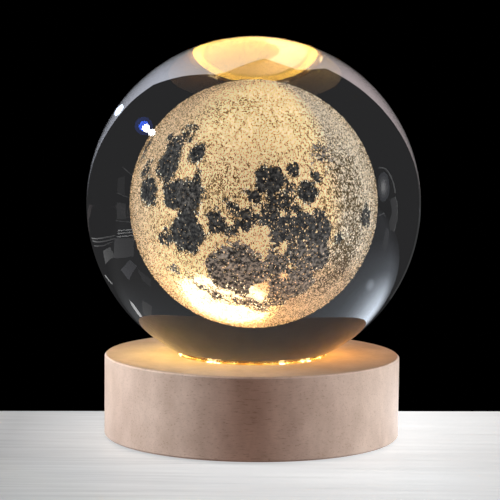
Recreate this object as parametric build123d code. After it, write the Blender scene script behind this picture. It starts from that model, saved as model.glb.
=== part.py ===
from build123d import *
import os
from math import cos, radians, sin, sqrt, tan

os.makedirs("parts", exist_ok=True)

# Crystal ball night light: a glass ball with the Moon engraved inside it, resting on a turned
# beech base that holds the lamp. The base stands on the XY plane and its rear, with the USB
# socket and the push button, faces +Y.

# Glass ball and its engraving
BALL_R = 40.0
BALL_Z = 56.3
ENGRAVING_R = 19.6
ENGRAVING_DEPTH = 0.5
MOON_R_KM = 1737.4
FACING_LONGITUDE = -11.7
NORTH_LEAN = -1.3
NORTH_ROLL = -155.3

# Turned beech base
BASE_R = 35.5
BASE_TOP = 20.0
BASE_BOTTOM = 0.5
EDGE_BREAK = 0.4
POCKET_R = 27.0
POCKET_CEILING = 10.5
COVER_LEDGE = 2.5
COVER_REBATE_R = 32.3
LOWER_WELL_R = 12.5
UPPER_WELL_R = 14.5
LENS_STEP = 13.4
RING_REBATE_R = 18.0
RING_REBATE_Z = 18.6

# Rear bay of the pocket, which holds the socket and the switch
BAY_REACH = 30.5
BAY_HALF_WIDTH = 12.0
BAY_CORNER_R = 4.0
RELIEF_DEPTH = 1.4

# Seat ring and lens
RING_INNER_R = 15.6
RING_TOP = 20.3
RING_LIP = 0.15
SEAT_GAP = 0.1
LENS_R = 14.3
LENS_FLANGE = 1.0
LENS_DOME_R = 11.5
LENS_TOP = 15.2

# LED board
LED_BOARD_R = 20.0
LED_BOARD_THICK = 1.6
LED_COUNT = 6
LED_RING_R = 8.0
LED_SIDE = 5.0
LED_HEIGHT = 1.6
LED_BOWL_R = 2.1
LED_BOWL_DEPTH = 0.5
PHOSPHOR_THICK = 0.4
RESISTOR_RING_R = 10.6
LED_RESISTOR = (1.6, 3.2, 0.6)
LED_SCREW_RING_R = 16.5
LED_SCREW_ANGLES = (30, 150, 270)

# Power board
POWER_BOARD_THICK = 1.2
POWER_BOARD_FRONT = 20.4
POWER_BOARD_REAR = 30.0
POWER_BOARD_HALF_WIDTH = 11.6
POWER_SCREW_X = 9.9
POWER_SCREW_Y = 22.4
SINK_RESISTOR = (1.6, 0.8, 0.45)
SINK_RESISTOR_XS = (-6.6, -4.4)
SINK_RESISTOR_Y = 22.0

# USB-C socket
USB_X = -6.0
USB_WIDTH = 8.94
USB_HEIGHT = 3.26
USB_WALL = 0.3
USB_LENGTH = 7.3
USB_MOUTH_Y = 31.5
USB_LEG = (0.3, 1.1, 1.8)
USB_BLOCK_LENGTH = 2.0
USB_TONGUE = (6.69, 5.0, 0.7)
USB_CONTACT = (0.3, 3.6, 0.06)
USB_TAIL = (0.3, 0.9, 0.15)
PLUG_SLOT_WIDTH = 12.8
PLUG_SLOT_HEIGHT = 7.0

# Push switch and its button
SWITCH_X = 5.0
SWITCH_Z = 6.3
SWITCH_FRONT = 30.0
SWITCH_LENGTH = 6.4
SWITCH_WIDTH = 6.4
SWITCH_BOTTOM = 3.5
SWITCH_WALL = 0.7
SWITCH_CAVITY = (4.6, 4.0)
STEM = (3.0, 2.0)
STEM_TIP = 34.9
STEM_CLEARANCE = 0.05
SHOULDER = (4.2, 1.2, 3.2)
SHOULDER_GAP = 0.1
SPRING_MEAN_R = 1.2
SPRING_WIRE_R = 0.17
SPRING_TURNS = 3
SWITCH_PIN = (0.5, 0.3, 2.1)
SWITCH_PIN_X = 2.0
SWITCH_PIN_PITCH = 2.0
BUTTON_R = 2.75
BUTTON_CLEARANCE = 0.1
BUTTON_BACK = 31.8
BUTTON_FACE = 36.4
BUTTON_DOME = 0.25
BUTTON_EDGE = 0.3

# Cover, feet and screws
COVER_R = 32.0
COVER_BOTTOM = 0.7
COVER_LIP_R = 26.8
COVER_LIP_WALL = 1.2
COVER_LIP_TOP = 3.3
COVER_SCREW_RING_R = 29.2
COVER_SCREW_ANGLES = (30, 150, 270)
COVER_SCREW_HEAD_R = 2.2
COVER_SCREW_R = 1.2
COVER_SCREW_LENGTH = 8.0
FOOT_R = 4.0
FOOT_RING_R = 23.0
FOOT_COUNT = 4
FOOT_RECESS = 0.6
BOARD_SCREW_R = 1.0
BOARD_SCREW_LENGTH = 6.0
BOARD_SCREW_HEAD = (1.6, 1.2)
BOARD_HOLE_R = 1.15

# Leads between the boards
LEAD_R = 0.55
RUN_SHARE = 0.45

LED_BOARD_BOTTOM = POCKET_CEILING - LED_BOARD_THICK
POWER_BOARD_BOTTOM = POCKET_CEILING - POWER_BOARD_THICK
USB_Z = POWER_BOARD_BOTTOM - USB_HEIGHT / 2
SWITCH_REAR = SWITCH_FRONT - SWITCH_LENGTH

# Plains of the Moon that stay clear of engraving: latitude, longitude and diameter in km
MARIA = {
    "imbrium": (35.0, -17.5, 980),
    "serenitatis": (27.0, 20.0, 670),
    "tranquillitatis": (9.5, 32.0, 760),
    "crisium": (16.5, 60.5, 440),
    "fecunditatis": (-4.5, 52.5, 560),
    "nectaris": (-15.5, 35.5, 320),
    "procellarum_north": (27.0, -56.0, 840),
    "procellarum_middle": (4.0, -52.0, 800),
    "cognitum": (-5.0, -29.0, 660),
    "nubium": (-22.0, -14.0, 520),
    "humorum": (-24.5, -38.5, 390),
    "moscoviense": (27.3, 147.9, 280),
}


def put(node, shape):
    """Writes one node's solids."""
    solids = shape if isinstance(shape, list) else [shape]
    flat = [solid for item in solids for solid in item.solids()]
    export_step(Compound(children=flat) if len(flat) > 1 else flat[0], f"parts/{node}.step")


def turned(profile):
    """Revolves a closed profile, given as a wire of radius and height, about the Z axis."""
    return revolve(make_face(Plane.XZ * profile), axis=Axis.Z)


def disc(radius, low, high):
    return Pos(0, 0, low) * Cylinder(radius, high - low, align=(Align.CENTER, Align.CENTER, Align.MIN))


def block(size, x=0.0, y=0.0, low=0.0):
    """A box centred on x and y, standing on the height low."""
    return Pos(x, y, low) * Box(*size, align=(Align.CENTER, Align.CENTER, Align.MIN))


def ring_places(radius, angles):
    return [(radius * cos(radians(a)), radius * sin(radians(a)), a) for a in angles]


# Ball and engraving


def mare_cone(latitude, longitude, diameter_km):
    """The cone from the globe's centre that covers one round plain."""
    half_angle = diameter_km / 2 / MOON_R_KM
    height = ENGRAVING_R * 1.25
    cone = Solid.make_cone(0, height * tan(half_angle), height)
    return Rot(0, 0, longitude - FACING_LONGITUDE - 90) * Rot(0, 90 - latitude, 0) * cone


def moon_engraving():
    """The engraved layer, open at the plains, with north down and to the left as it is seen."""
    layer = Sphere(ENGRAVING_R) - Sphere(ENGRAVING_R - ENGRAVING_DEPTH)
    for place in MARIA.values():
        layer = layer - mare_cone(*place)
    return Pos(0, 0, BALL_Z) * Rot(0, NORTH_ROLL, 0) * Rot(NORTH_LEAN, 0, 0) * layer


def crystal_ball(engraving):
    return Pos(0, 0, BALL_Z) * Sphere(BALL_R) - engraving


# Wood


def pocket_bay():
    """The rear bay, milled from the pocket towards the rear wall."""
    depth = BAY_REACH - POCKET_R / 2
    outline = Rectangle(2 * BAY_HALF_WIDTH, depth, align=(Align.CENTER, Align.MIN))
    outline = fillet(outline.vertices().group_by(Axis.Y)[-1], BAY_CORNER_R)
    bay = Pos(0, POCKET_R / 2, COVER_LEDGE) * extrude(outline, POCKET_CEILING - COVER_LEDGE)
    relief_left = USB_X - USB_WIDTH / 2 - USB_LEG[0]
    relief_right = SWITCH_X + SWITCH_WIDTH / 2
    relief = block(
        (relief_right - relief_left, SWITCH_LENGTH - 1, RELIEF_DEPTH),
        (relief_left + relief_right) / 2,
        SWITCH_FRONT - SWITCH_LENGTH / 2,
        POCKET_CEILING,
    )
    return bay + relief


def plug_slot():
    """The opening in the rear wall that takes the moulding of a USB-C plug."""
    outline = RectangleRounded(PLUG_SLOT_WIDTH, PLUG_SLOT_HEIGHT, PLUG_SLOT_HEIGHT / 2 - 0.1)
    cut = extrude(Plane.XZ * outline, -(BASE_R - BAY_REACH + 3))
    return Pos(USB_X, BAY_REACH - 2, USB_Z) * cut


def wooden_base():
    profile = Polyline(
        (LOWER_WELL_R, POCKET_CEILING),
        (POCKET_R, POCKET_CEILING),
        (POCKET_R, COVER_LEDGE),
        (COVER_REBATE_R, COVER_LEDGE),
        (COVER_REBATE_R, BASE_BOTTOM),
        (BASE_R - EDGE_BREAK, BASE_BOTTOM),
        (BASE_R, BASE_BOTTOM + EDGE_BREAK),
        (BASE_R, BASE_TOP - EDGE_BREAK),
        (BASE_R - EDGE_BREAK, BASE_TOP),
        (RING_REBATE_R, BASE_TOP),
        (RING_REBATE_R, RING_REBATE_Z),
        (UPPER_WELL_R, RING_REBATE_Z),
        (UPPER_WELL_R, LENS_STEP),
        (LOWER_WELL_R, LENS_STEP),
        close=True,
    )
    button_bore = Pos(SWITCH_X, BAY_REACH - 2, SWITCH_Z) * Rot(-90, 0, 0) * disc(
        BUTTON_R + BUTTON_CLEARANCE, 0, BASE_R - BAY_REACH + 3
    )
    wood = turned(profile) - pocket_bay() - plug_slot() - button_bore
    for x, y, _ in ring_places(LED_SCREW_RING_R, LED_SCREW_ANGLES):
        wood = wood - board_screw_hole(x, y, LED_BOARD_BOTTOM)
    for side in (-1, 1):
        wood = wood - board_screw_hole(side * POWER_SCREW_X, POWER_SCREW_Y, POWER_BOARD_BOTTOM)
    for x, y, _ in ring_places(COVER_SCREW_RING_R, COVER_SCREW_ANGLES):
        wood = wood - Pos(x, y) * disc(COVER_SCREW_R, COVER_LEDGE, COVER_BOTTOM + COVER_SCREW_LENGTH)
    return wood


# Seat ring and lens


def ball_height(radius, gap=0.0):
    """Height of the ball's lower surface, grown by gap, at a radius from the axis."""
    return BALL_Z - sqrt((BALL_R + gap) ** 2 - radius**2)


def seat_ring():
    """Clear soft ring whose inner face follows the ball."""
    outer = RING_REBATE_R - 0.05
    lip_inner = sqrt((BALL_R + SEAT_GAP) ** 2 - (BALL_Z - RING_TOP) ** 2)
    middle = (lip_inner + RING_INNER_R) / 2
    seat = ThreePointArc(
        (lip_inner, RING_TOP),
        (middle, ball_height(middle, SEAT_GAP)),
        (RING_INNER_R, ball_height(RING_INNER_R, SEAT_GAP)),
    )
    rest = Polyline(
        seat @ 1,
        (RING_INNER_R, RING_REBATE_Z),
        (outer, RING_REBATE_Z),
        (outer, RING_TOP - RING_LIP),
        (outer - RING_LIP, RING_TOP),
        seat @ 0,
    )
    return turned(Curve() + [seat, rest])


def dome_arc(radius, foot, top):
    """Half of a spherical cap's outline, from its foot to its top on the axis."""
    rise = top - foot
    sphere_r = (radius**2 + rise**2) / (2 * rise)
    middle = top - sphere_r + sqrt(sphere_r**2 - (radius / 2) ** 2)
    return ThreePointArc((radius, foot), (radius / 2, middle), (0, top))


def diffuser_lens():
    """Frosted disc with a shallow dome, lying on the step of the light well."""
    flange_top = LENS_STEP + LENS_FLANGE
    dome = dome_arc(LENS_DOME_R, flange_top, LENS_TOP)
    rest = Polyline(
        dome @ 1, (0, LENS_STEP), (LENS_R, LENS_STEP), (LENS_R, flange_top), dome @ 0
    )
    return turned(Curve() + [dome, rest])


# LED board


def led_board():
    board = disc(LED_BOARD_R, LED_BOARD_BOTTOM, POCKET_CEILING)
    for x, y, _ in ring_places(LED_SCREW_RING_R, LED_SCREW_ANGLES):
        board = board - Pos(x, y) * disc(BOARD_HOLE_R, LED_BOARD_BOTTOM, POCKET_CEILING)
    return board


def led_places():
    return ring_places(LED_RING_R, [i * 360 / LED_COUNT for i in range(LED_COUNT)])


def warm_white_leds():
    """Square packages, each with a round bowl in its upper face and one cut corner."""
    body = extrude(
        chamfer(Rectangle(LED_SIDE, LED_SIDE).vertices().sort_by(Axis.X)[-1], 0.7), LED_HEIGHT
    )
    bowl = Pos(0, 0, LED_HEIGHT - LED_BOWL_DEPTH) * Cone(
        LED_BOWL_R - 0.3, LED_BOWL_R, LED_BOWL_DEPTH, align=(Align.CENTER, Align.CENTER, Align.MIN)
    )
    led = body - bowl
    return [Pos(x, y, POCKET_CEILING) * Rot(0, 0, a) * led for x, y, a in led_places()]


def led_phosphor():
    """Yellow resin that fills each bowl to just below its rim."""
    slope = 0.3 / LED_BOWL_DEPTH
    fill = Cone(
        LED_BOWL_R - 0.3,
        LED_BOWL_R - 0.3 + slope * PHOSPHOR_THICK,
        PHOSPHOR_THICK,
        align=(Align.CENTER, Align.CENTER, Align.MIN),
    )
    low = POCKET_CEILING + LED_HEIGHT - LED_BOWL_DEPTH
    return [Pos(x, y, low) * fill for x, y, _ in led_places()]


def led_resistors():
    angles = [180 / LED_COUNT + 120 * i for i in range(LED_COUNT // 2)]
    return [
        Pos(x, y, 0) * Rot(0, 0, a) * block(LED_RESISTOR, low=POCKET_CEILING)
        for x, y, a in ring_places(RESISTOR_RING_R, angles)
    ]


# Power board


def power_board():
    depth = POWER_BOARD_REAR - POWER_BOARD_FRONT
    outline = Rectangle(2 * POWER_BOARD_HALF_WIDTH, depth, align=(Align.CENTER, Align.MIN))
    outline = fillet(outline.vertices().group_by(Axis.Y)[-1], BAY_CORNER_R)
    board = Pos(0, POWER_BOARD_FRONT, POWER_BOARD_BOTTOM) * extrude(outline, POWER_BOARD_THICK)
    for side in (-1, 1):
        hole = disc(BOARD_HOLE_R, POWER_BOARD_BOTTOM, POCKET_CEILING)
        board = board - Pos(side * POWER_SCREW_X, POWER_SCREW_Y) * hole
    for x, y in usb_leg_places():
        board = board - block((USB_LEG[0], USB_LEG[1], POWER_BOARD_THICK), x, y, POWER_BOARD_BOTTOM)
    for x, y in switch_pin_places():
        board = board - block(
            (SWITCH_PIN[0], SWITCH_PIN[1], POWER_BOARD_THICK), x, y, POWER_BOARD_BOTTOM
        )
    return board


def sink_resistors():
    low = POWER_BOARD_BOTTOM - SINK_RESISTOR[2]
    return [block(SINK_RESISTOR, x, SINK_RESISTOR_Y, low) for x in SINK_RESISTOR_XS]


# USB-C socket


def usb_tube(width, height, rear, front):
    """A bar of the socket's stadium section, from rear to front along Y."""
    outline = RectangleRounded(width, height, height / 2 - 0.01)
    return Pos(USB_X, rear, USB_Z) * extrude(Plane.XZ * outline, -(front - rear))


def usb_leg_places():
    rear = USB_MOUTH_Y - USB_LENGTH
    xs = [USB_X + side * (USB_WIDTH / 2 - USB_LEG[0] / 2) for side in (-1, 1)]
    return [(x, rear + along) for x in xs for along in (1.0, 4.6)]


def usb_socket_shell():
    rear = USB_MOUTH_Y - USB_LENGTH
    inner = usb_tube(USB_WIDTH - 2 * USB_WALL, USB_HEIGHT - 2 * USB_WALL, rear, USB_MOUTH_Y)
    shell = usb_tube(USB_WIDTH, USB_HEIGHT, rear, USB_MOUTH_Y) - inner
    for x, y in usb_leg_places():
        leg = block((USB_LEG[0], USB_LEG[1], USB_LEG[2] + USB_HEIGHT / 2), x, y, USB_Z)
        shell = shell + leg
    return shell


def usb_socket_tongue():
    """Rear block that closes the shell, and the tongue that carries the contacts."""
    rear = USB_MOUTH_Y - USB_LENGTH
    block_front = rear + USB_BLOCK_LENGTH
    back = usb_tube(USB_WIDTH - 2 * USB_WALL, USB_HEIGHT - 2 * USB_WALL, rear, block_front)
    tongue = block(USB_TONGUE, USB_X, block_front + USB_TONGUE[1] / 2, USB_Z - USB_TONGUE[2] / 2)
    return back + tongue


def usb_contacts():
    """Three contacts on each face of the tongue, and six tails behind the block."""
    rear = USB_MOUTH_Y - USB_LENGTH
    y = rear + USB_BLOCK_LENGTH + USB_CONTACT[1] / 2
    strips = []
    for offset in (-2.0, 0.6, 2.0):
        strips.append(block(USB_CONTACT, USB_X + offset, y, USB_Z + USB_TONGUE[2] / 2))
        below = USB_Z - USB_TONGUE[2] / 2 - USB_CONTACT[2]
        strips.append(block(USB_CONTACT, USB_X - offset, y, below))
    for i in range(6):
        x = USB_X - 2.5 + i
        strips.append(block(USB_TAIL, x, rear - USB_TAIL[1] / 2, POWER_BOARD_BOTTOM - USB_TAIL[2]))
    return strips


# Push switch


def switch_pin_places():
    y = (SWITCH_REAR + SWITCH_FRONT) / 2
    return [
        (SWITCH_X + side * SWITCH_PIN_X, y + i * SWITCH_PIN_PITCH)
        for side in (-1, 1)
        for i in (-1, 0, 1)
    ]


def switch_body():
    """Housing with a cavity for the stem's shoulder and the spring, open at the front."""
    height = POWER_BOARD_BOTTOM - SWITCH_BOTTOM
    y = (SWITCH_REAR + SWITCH_FRONT) / 2
    housing = block((SWITCH_WIDTH, SWITCH_LENGTH, height), SWITCH_X, y, SWITCH_BOTTOM)
    housing = chamfer(housing.faces().sort_by(Axis.Z)[0].edges(), 0.3)
    cavity_length = SWITCH_LENGTH - 2 * SWITCH_WALL
    cavity = Pos(SWITCH_X, y, SWITCH_Z) * Box(SWITCH_CAVITY[0], cavity_length, SWITCH_CAVITY[1])
    mouth = Pos(SWITCH_X, SWITCH_FRONT - SWITCH_WALL / 2, SWITCH_Z) * Box(
        STEM[0] + 2 * STEM_CLEARANCE, SWITCH_WALL, STEM[1] + 2 * STEM_CLEARANCE
    )
    return housing - cavity - mouth


def switch_pins():
    return [block(SWITCH_PIN, x, y, POWER_BOARD_BOTTOM) for x, y in switch_pin_places()]


def shoulder_front():
    return SWITCH_FRONT - SWITCH_WALL - SHOULDER_GAP


def switch_plunger():
    """Stem with the shoulder that the spring pushes against the front wall."""
    front = shoulder_front()
    shoulder = Pos(SWITCH_X, front - SHOULDER[1] / 2, SWITCH_Z) * Box(*SHOULDER)
    stem = Pos(SWITCH_X, (front + STEM_TIP) / 2, SWITCH_Z) * Box(STEM[0], STEM_TIP - front, STEM[1])
    return shoulder + stem


def switch_spring():
    """Compression spring from the rear wall of the cavity to the shoulder, of six-sided wire."""
    low = SWITCH_REAR + SWITCH_WALL + SPRING_WIRE_R + 0.02
    high = shoulder_front() - SHOULDER[1] - SPRING_WIRE_R - 0.02
    pitch = (high - low) / SPRING_TURNS
    path = Helix(pitch, high - low, SPRING_MEAN_R)
    section = Plane(origin=path @ 0, z_dir=path % 0) * RegularPolygon(SPRING_WIRE_R, 6)
    coil = sweep(section, path=path)
    return Pos(SWITCH_X, low, SWITCH_Z) * Rot(-90, 0, 0) * coil


def button_cap():
    """Round button, slightly domed, with a socket that fits over the stem."""
    dome = dome_arc(BUTTON_R - BUTTON_EDGE, BUTTON_FACE - BUTTON_DOME, BUTTON_FACE)
    rest = Polyline(
        dome @ 1,
        (0, BUTTON_BACK),
        (BUTTON_R, BUTTON_BACK),
        (BUTTON_R, BUTTON_FACE - BUTTON_DOME - BUTTON_EDGE),
        dome @ 0,
    )
    cap = Pos(SWITCH_X, 0, SWITCH_Z) * Rot(-90, 0, 0) * turned(Curve() + [dome, rest])
    depth = STEM_TIP + STEM_CLEARANCE - BUTTON_BACK
    socket = Pos(SWITCH_X, BUTTON_BACK + depth / 2, SWITCH_Z) * Box(
        STEM[0] + 2 * STEM_CLEARANCE, depth, STEM[1] + 2 * STEM_CLEARANCE
    )
    return cap - socket


# Screws, cover and feet


def cross_recess(half_length, depth):
    """A cross for a screwdriver, sunk upwards from the head's lower face."""
    bar = block((2 * half_length, 0.5, depth))
    return bar + Rot(0, 0, 90) * bar


def board_screw_hole(x, y, board_bottom):
    return Pos(x, y) * disc(BOARD_SCREW_R, POCKET_CEILING, board_bottom + BOARD_SCREW_LENGTH)


def board_screw(x, y, board_bottom):
    """Pan-head screw, driven upwards from the head under the board."""
    head_r, head_height = BOARD_SCREW_HEAD
    head = disc(head_r, -head_height, 0)
    head = head - Pos(0, 0, -head_height) * cross_recess(head_r * 0.6, head_height / 2)
    shank = disc(BOARD_SCREW_R, 0, BOARD_SCREW_LENGTH)
    return Pos(x, y, board_bottom) * (head + shank)


def cover_screw(x, y):
    """Countersunk wood screw, flush with the cover's lower face."""
    cone = Pos(0, 0, COVER_BOTTOM) * Cone(
        COVER_SCREW_HEAD_R,
        COVER_SCREW_R,
        COVER_SCREW_HEAD_R - COVER_SCREW_R,
        align=(Align.CENTER, Align.CENTER, Align.MIN),
    )
    shank = disc(COVER_SCREW_R, COVER_BOTTOM, COVER_BOTTOM + COVER_SCREW_LENGTH)
    recess = Pos(0, 0, COVER_BOTTOM) * cross_recess(COVER_SCREW_HEAD_R * 0.55, 0.9)
    return Pos(x, y) * (cone + shank - recess)


def foot_places():
    return ring_places(FOOT_RING_R, [45 + i * 360 / FOOT_COUNT for i in range(FOOT_COUNT)])


def bottom_cover():
    """Moulded disc with a locating lip, countersunk holes and recesses for the feet."""
    plate = disc(COVER_R, COVER_BOTTOM, COVER_LEDGE)
    plate = chamfer(plate.edges().group_by(Axis.Z)[0], EDGE_BREAK)
    lip = disc(COVER_LIP_R, COVER_LEDGE, COVER_LIP_TOP)
    lip = lip - disc(COVER_LIP_R - COVER_LIP_WALL, COVER_LEDGE, COVER_LIP_TOP)
    cover = plate + lip
    for x, y, _ in ring_places(COVER_SCREW_RING_R, COVER_SCREW_ANGLES):
        sink = Pos(0, 0, COVER_BOTTOM) * Cone(
            COVER_SCREW_HEAD_R,
            COVER_SCREW_R,
            COVER_SCREW_HEAD_R - COVER_SCREW_R,
            align=(Align.CENTER, Align.CENTER, Align.MIN),
        )
        cover = cover - Pos(x, y) * (sink + disc(COVER_SCREW_R, COVER_BOTTOM, COVER_LEDGE))
    for x, y, _ in foot_places():
        cover = cover - Pos(x, y) * disc(FOOT_R + 0.1, COVER_BOTTOM, COVER_BOTTOM + FOOT_RECESS)
    return cover


def rubber_feet():
    foot = disc(FOOT_R, 0, COVER_BOTTOM + FOOT_RECESS)
    return [Pos(x, y) * foot for x, y, _ in foot_places()]


# Leads

LEAD_ROUTES = {
    "red": [
        (-3.0, 9.0, LED_BOARD_BOTTOM),
        (-3.0, 9.0, 5.6),
        (-3.3, 15.2, 4.4),
        (-0.7, 22.0, 5.8),
        (-0.7, 22.0, POWER_BOARD_BOTTOM),
    ],
    "black": [
        (3.0, 9.0, LED_BOARD_BOTTOM),
        (3.0, 9.0, 5.8),
        (3.8, 15.0, 4.8),
        (1.2, 22.0, 6.0),
        (1.2, 22.0, POWER_BOARD_BOTTOM),
    ],
}


def lead(name):
    """An insulated lead, of eight-sided section, along straight runs joined by tangent arcs."""
    points = [Vector(*p) for p in LEAD_ROUTES[name]]
    runs = [b - a for a, b in zip(points, points[1:])]
    radii = []
    for before, after in zip(runs, runs[1:]):
        half_turn = radians(before.get_angle(after)) / 2
        radii.append(RUN_SHARE * min(before.length, after.length) / tan(half_turn))
    path = FilletPolyline(*points, radius=radii)
    section = Plane(origin=path @ 0, z_dir=path % 0) * RegularPolygon(LEAD_R, 8)
    tube = sweep(section, path=path)
    whole = section.area * path.length
    print(f"{name} lead: length {path.length:.1f}, least radius {min(radii):.2f},",
          f"volume {tube.volume:.2f} of {whole:.2f}")
    return tube


ENGRAVING = moon_engraving()

NODES = {
    "crystal_ball": crystal_ball(ENGRAVING),
    "moon_engraving": ENGRAVING,
    "wooden_base": wooden_base(),
    "seat_ring": seat_ring(),
    "diffuser_lens": diffuser_lens(),
    "led_board": led_board(),
    "warm_white_leds": warm_white_leds(),
    "led_phosphor": led_phosphor(),
    "led_resistors": led_resistors(),
    "led_board_screws": [
        board_screw(x, y, LED_BOARD_BOTTOM)
        for x, y, _ in ring_places(LED_SCREW_RING_R, LED_SCREW_ANGLES)
    ],
    "lead_wire_red": lead("red"),
    "lead_wire_black": lead("black"),
    "power_board": power_board(),
    "power_board_screws": [
        board_screw(side * POWER_SCREW_X, POWER_SCREW_Y, POWER_BOARD_BOTTOM) for side in (-1, 1)
    ],
    "sink_resistors": sink_resistors(),
    "usb_socket_shell": usb_socket_shell(),
    "usb_socket_tongue": usb_socket_tongue(),
    "usb_contacts": usb_contacts(),
    "switch_body": switch_body(),
    "switch_pins": switch_pins(),
    "switch_plunger": switch_plunger(),
    "switch_spring": switch_spring(),
    "button_cap": button_cap(),
    "bottom_cover": bottom_cover(),
    "bottom_cover_screws": [
        cover_screw(x, y) for x, y, _ in ring_places(COVER_SCREW_RING_R, COVER_SCREW_ANGLES)
    ],
    "rubber_feet": rubber_feet(),
}

for node, shape in NODES.items():
    put(node, shape)
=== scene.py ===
import math

import bpy
import numpy as np
from mathutils import Matrix, Vector, noise


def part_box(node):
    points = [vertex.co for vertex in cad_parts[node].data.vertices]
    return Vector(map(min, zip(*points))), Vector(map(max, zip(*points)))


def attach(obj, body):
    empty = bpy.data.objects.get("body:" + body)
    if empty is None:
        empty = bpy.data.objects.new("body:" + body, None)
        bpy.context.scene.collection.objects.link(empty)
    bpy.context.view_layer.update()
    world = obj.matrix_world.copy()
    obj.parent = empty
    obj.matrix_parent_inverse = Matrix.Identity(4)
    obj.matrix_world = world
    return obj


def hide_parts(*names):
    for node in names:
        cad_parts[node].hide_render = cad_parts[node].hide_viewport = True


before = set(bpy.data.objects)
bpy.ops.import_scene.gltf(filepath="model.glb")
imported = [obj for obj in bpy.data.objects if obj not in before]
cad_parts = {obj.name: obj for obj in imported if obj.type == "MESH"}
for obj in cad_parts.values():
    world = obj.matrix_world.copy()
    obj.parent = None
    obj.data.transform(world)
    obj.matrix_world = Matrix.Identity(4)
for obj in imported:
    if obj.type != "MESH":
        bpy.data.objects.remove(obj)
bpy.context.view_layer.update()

MM = 0.001

# Sizes from the frame, in millimetres, and the ball's centre, in metres
BALL_LOW, BALL_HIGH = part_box("crystal_ball")
BALL_R = (BALL_HIGH[2] - BALL_LOW[2]) / 2 / MM
BALL_CENTRE = Vector((0, 0, (BALL_HIGH[2] + BALL_LOW[2]) / 2))
WOOD_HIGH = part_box("wooden_base")[1]
BASE_R = WOOD_HIGH[0] / MM
BASE_TOP = WOOD_HIGH[2] / MM
LENS_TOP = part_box("diffuser_lens")[1][2] / MM

# The ball and its engraving: sizes in millimetres, how finely they are made, and how strongly it glows
BALL_RINGS = 128
BALL_SEGMENTS = 256
ENGRAVING_R = 19.5
CORE_R = 19.15
CORE_RINGS = 230
CORE_SEGMENTS = 420
GRAIN_CANDIDATES = 100000
GRAIN_SEED = 11
GRAIN_SIZE = 0.095
ENGRAVING_GLOW = 0.86
BAKE_MAP = "OFBake"
# Indices of refraction, and the share of a lamp's light that passes the glass
GLASS_IOR = 1.52
RING_IOR = 1.41
GLASS_PASSES = 0.66

# The base and its ring, in millimetres, and the lamp's light on them, painted as a glow
EDGE_HIGHLIGHT_WIDTH = 0.35
WELL_LIT_R = 17.9
WELL_GLOW = 7.2
WELL_COLOUR = (1.0, 0.56, 0.09)
RING_INNER_LIGHT = (13.0, 7.1, 1.1)
RING_SHADE_Z = BASE_TOP - 0.3
RING_SHADE_SLOPE = 10000.0
# Share of their glow that is kept back from matt surfaces
GLOW_KEPT_BACK = 0.85

# The camera, in millimetres and degrees, fitted to the outline of the ball and of the base
CAMERA_DISTANCE = 523.14
CAMERA_ELEVATION = 6.009
CAMERA_ROLL = 0.62
CAMERA_AIM = (-0.761, 0.0, 45.119)
FOCAL_PX = 2176.3
SENSOR_MM = 36.0
FRAME_PX = 500
# The ball's outline and a thin line inside it, in pixels, and how finely round shapes are drawn
LIMB_X, LIMB_Y, LIMB_R = 253.67, 203.67, 167.23
LIMB_LINE = (165.6, LIMB_R - 0.25)
LIMB_STEPS = 24
OVAL_CORNERS = 24

# The pale slab, in millimetres: it ends under the back of the base, with a round lip there
FLOOR_REACH = 3000
FLOOR_TOP = -0.02
FLOOR_UNDERSIDE = -12
FLOOR_REAR = 32.3
FLOOR_REAR_SLOPE = 0.0575
FLOOR_LIP_R = 36.5
# Light of the slab to rays that come through glass, and tint of the pool of light on it
UNLIT_FLOOR = (0.022, 0.022, 0.023)
COOL_LIGHT = (0.87, 0.97, 1.1)

# A strip behind the slab is seen only in the ball. Its far edge shows through the top of the ball at these
# points of the picture, in pixels; beyond them it runs on to places given in millimetres
REAR_EDGE_SEEN = [
    (154, 84.5), (162.5, 81.5), (187.5, 75.5), (216, 74.5), (225, 72.5), (240, 66.5),
    (265, 58.5), (281, 64), (297.5, 70), (311, 69.5), (326, 68.5),
]
REAR_EDGE_RIGHT = [(FLOOR_REACH, 260), (200, 81), (60, 79.5)]
REAR_EDGE_LEFT = [(-FLOOR_REACH, 81)]

# How far from the ball the things that it mirrors stand, and how much nearer each is than the one before
MIRRORED_DISTANCE = 900.0
MIRRORED_STEP = 15.0
# Share of the way down to the table beyond which nothing mirrored from below stands
MIRRORED_DROP = 0.9

# How the engraved globe stands: longitude that faces the front, and the tilts of its north
FACING_LONGITUDE = -11.7
NORTH_LEAN = -1.3
NORTH_ROLL = -155.3
MOON_R_KM = 1737.4
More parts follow.
